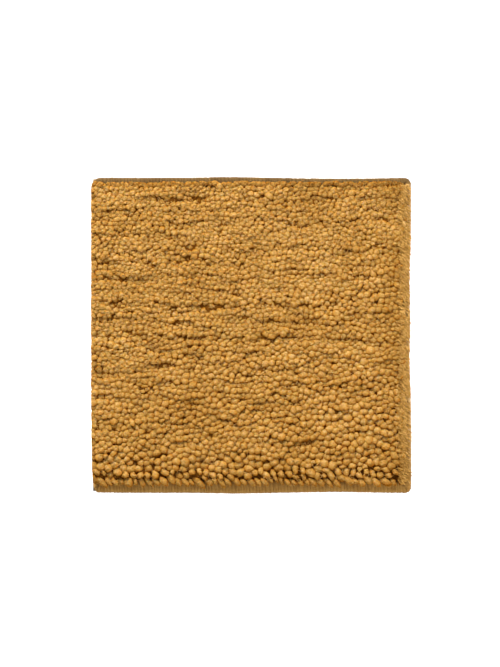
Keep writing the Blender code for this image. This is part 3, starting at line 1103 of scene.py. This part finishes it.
class Nodes:
    """Short ways to add and join shader nodes."""

    def __init__(self, name):
        self.material = bpy.data.materials.new(name)
        self.material.use_nodes = True
        self.tree = self.material.node_tree
        self.shader = self.tree.nodes["Principled BSDF"]

    def add(self, kind, inputs=None, **settings):
        node = self.tree.nodes.new(kind)
        for key, value in settings.items():
            setattr(node, key, value)
        for key, value in (inputs or {}).items():
            if isinstance(value, bpy.types.NodeSocket):
                self.tree.links.new(value, node.inputs[key])
            else:
                node.inputs[key].default_value = value
        return node

    def total(self, *parts, start=0.0):
        """A start value and some sockets, each times its weight, added up."""
        level = start
        for socket, weight in parts:
            node = self.add("ShaderNodeMath", {0: socket, 1: weight, 2: level}, operation="MULTIPLY_ADD")
            level = node.outputs[0]
        return level

    def mix(self, share, first, second):
        node = self.add("ShaderNodeMix", {0: share, 6: first, 7: second}, data_type="RGBA")
        return node.outputs[2]

    def noise(self, vector, scale, detail=2.0, roughness=0.5):
        node = self.add("ShaderNodeTexNoise", {"Vector": vector, "Scale": scale, "Detail": detail,
                                               "Roughness": roughness})
        return node.outputs[0]

    def stretched(self, vector, scale):
        node = self.add("ShaderNodeMapping", {"Vector": vector, "Scale": scale})
        return node.outputs[0]

    def attribute(self, name):
        return self.add("ShaderNodeAttribute", attribute_name=name).outputs["Fac"]

    def place(self):
        return self.add("ShaderNodeTexCoord").outputs["Object"]

    def yarn(self):
        return self.add("ShaderNodeUVMap", uv_map="yarn").outputs[0]

    def ramp(self, share, stops):
        """A colour ramp from stops of a position and an 8-bit sRGB colour."""
        node = self.add("ShaderNodeValToRGB", {"Fac": share})
        elements = node.color_ramp.elements
        while len(elements) < len(stops):
            elements.new(0.5)
        for element, (position, _) in zip(elements, stops):
            element.position = position
        for element, (_, colour) in zip(elements, stops):
            element.color = srgb(*colour)
        return node.outputs[0]

    def sheen(self, weight, roughness, tint=None):
        self.shader.inputs["Sheen Weight"].default_value = weight
        self.shader.inputs["Sheen Roughness"].default_value = roughness
        if tint:
            self.shader.inputs["Sheen Tint"].default_value = srgb(*tint)

    def finish(self, colour, height, strength, distance, roughness, specular=0.2):
        """Joins the colour and the bump to the shader."""
        self.tree.links.new(colour, self.shader.inputs["Base Color"])
        bump = self.add("ShaderNodeBump", {"Height": height, "Strength": strength, "Distance": distance})
        self.tree.links.new(bump.outputs[0], self.shader.inputs["Normal"])
        self.shader.inputs["Roughness"].default_value = roughness
        self.shader.inputs["Specular IOR Level"].default_value = specular
        return self.material


def wool_material(name, subsurface, stops):
    """Dyed wool with fine fibres: painted shade makes it deep and reddish down the sides of each end, and a
    painted highlight makes its tip paler.
    """
    n = Nodes(name)
    fibres = n.noise(n.stretched(n.yarn(), (9, 1.6, 1)), 1.0, 3.0, 0.65)
    blotch = n.noise(n.place(), 1000, 4.0, 0.7)
    grain_and_shade = n.total((n.attribute("tone"), 0.30), (fibres, 0.32), (blotch, 0.46))
    level = n.total((grain_and_shade, 0.30), (n.attribute("painted_tip_light"), 0.47), start=0.1935)
    bright = n.total((grain_and_shade, GRAIN_GAIN), start=1 - GRAIN_GAIN * GRAIN_MEAN)
    scaled = n.add("ShaderNodeVectorMath", {0: n.ramp(level, stops), "Scale": bright}, operation="SCALE")
    n.sheen(0.03, 0.5, SHEEN_COLOUR)
    n.shader.inputs["Subsurface Weight"].default_value = subsurface
    n.shader.inputs["Subsurface Radius"].default_value = (1.0, 0.66, 0.34)
    n.shader.inputs["Subsurface Scale"].default_value = 0.0011
    height = n.total((fibres, 0.6), (blotch, 1.0))
    return n.finish(scaled.outputs[0], height, 1.0, 0.0012, 0.92, 0.0)


def roots_material():
    """The foot of the pile: the same wool, matted, painted dark for the shade down between the tufts."""
    n = Nodes("wool_roots")
    fibres = n.noise(n.place(), 1400, 3.0)
    return n.finish(n.ramp(fibres, ROOT_SHADE_COLOURS), fibres, 0.8, 0.0006, 0.95, 0.0)


def binding_material():
    """Ribbed yarn: painted light on the rib crests and painted shade in the grooves between them, paler on
    the right side, with painted shade on the back and near the floor.
    """
    n = Nodes("binding_yarn")
    fibres = n.noise(n.stretched(n.yarn(), (4.0, 1.2, 1)), 1.0, 3.0, 0.6)
    fuzz = n.noise(n.place(), 1300, 3.0, 0.6)
    patches = n.noise(n.place(), 170)
    # Painted light on the rib crests and painted shade in the grooves between them
    level = n.total((n.attribute("rib_light"), 0.35), (fibres, 0.45), (fuzz, 0.45), (patches, 0.9), start=-0.45)
    colour = n.mix(n.attribute("right_side"), n.ramp(level, FRONT_COLOURS), n.ramp(level, PALE_COLOURS))
    # Painted shade on the back
    colour = n.mix(n.attribute("back_shade"), colour, n.ramp(level, BACK_SHADE_COLOURS))
    # Painted shade near the floor
    colour = n.mix(n.total((n.attribute("low"), 0.7)), colour, srgb(*FOOT_SHADE_COLOUR))
    n.sheen(0.1, 0.5)
    return n.finish(colour, n.total((fibres, 1.0), (fuzz, 1.0)), 0.7, 0.0004, 0.9)


def backing_material():
    """Undyed plain cloth, grey-brown, with slubs along its threads."""
    n = Nodes("backing_cloth")
    warp = n.noise(n.stretched(n.place(), (700, 60, 60)), 1.0, 2.0)
    weft = n.noise(n.stretched(n.place(), (60, 700, 60)), 1.0, 2.0)
    level = n.total((warp, 0.5), (weft, 0.5))
    return n.finish(n.ramp(level, CLOTH_COLOURS), level, 0.6, 0.0003, 0.95)


def floor_material():
    """A white floor that glows a little, so that the studio shows no hard shadow on it."""
    n = Nodes("floor")
    n.shader.inputs["Base Color"].default_value = (0.9, 0.9, 0.9, 1)
    n.shader.inputs["Roughness"].default_value = 0.9
    n.shader.inputs["Emission Color"].default_value = (1, 1, 1, 1)
    n.shader.inputs["Emission Strength"].default_value = 1.0
    return n.material


def make_camera():
    camera_data = bpy.data.cameras.new("camera")
    camera_data.lens = LENS_MM
    camera_data.sensor_width = SENSOR_MM
    camera_data.sensor_fit = "AUTO"
    camera_data.clip_end = 10.0
    camera = bpy.data.objects.new("camera", camera_data)
    distance = LENS_MM / SENSOR_MM * PHOTO_HEIGHT_PX * METRES_PER_PIXEL
    middle = from_photo(PHOTO_WIDTH_PX / 2, PHOTO_HEIGHT_PX / 2)
    camera.location = (middle[0], middle[1], distance + BINDING_TOP / 2)
    bpy.context.scene.collection.objects.link(camera)
    bpy.context.scene.camera = camera


def make_studio():
    """A white floor, one soft lamp from the back left, a weak one from the right and an even fill."""
    floor_mesh = bpy.data.meshes.new("floor")
    size = FLOOR_HALF_SIZE
    floor_mesh.from_pydata([(-size, -size, 0), (size, -size, 0), (size, size, 0), (-size, size, 0)], [],
                           [(0, 1, 2, 3)])
    floor_mesh.materials.append(floor_material())
    floor = bpy.data.objects.new("floor", floor_mesh)
    bpy.context.scene.collection.objects.link(floor)
    for name, place, lamp_size, power in LAMPS:
        lamp_data = bpy.data.lights.new(name, "AREA")
        lamp_data.size = lamp_size
        lamp_data.energy = power
        lamp = bpy.data.objects.new(name, lamp_data)
        lamp.location = place
        lamp.rotation_euler = (-lamp.location.normalized()).to_track_quat("-Z", "Y").to_euler()
        bpy.context.scene.collection.objects.link(lamp)
    world = bpy.data.worlds.new("studio")
    world.use_nodes = True
    world.node_tree.nodes["Background"].inputs[0].default_value = (1, 1, 1, 1)
    world.node_tree.nodes["Background"].inputs[1].default_value = WORLD_LIGHT
    bpy.context.scene.world = world
    bpy.context.scene.view_settings.view_transform = "Standard"


make_camera()
make_studio()
pile_pieces = make_pile()
binding = make_binding()
backing = make_backing()
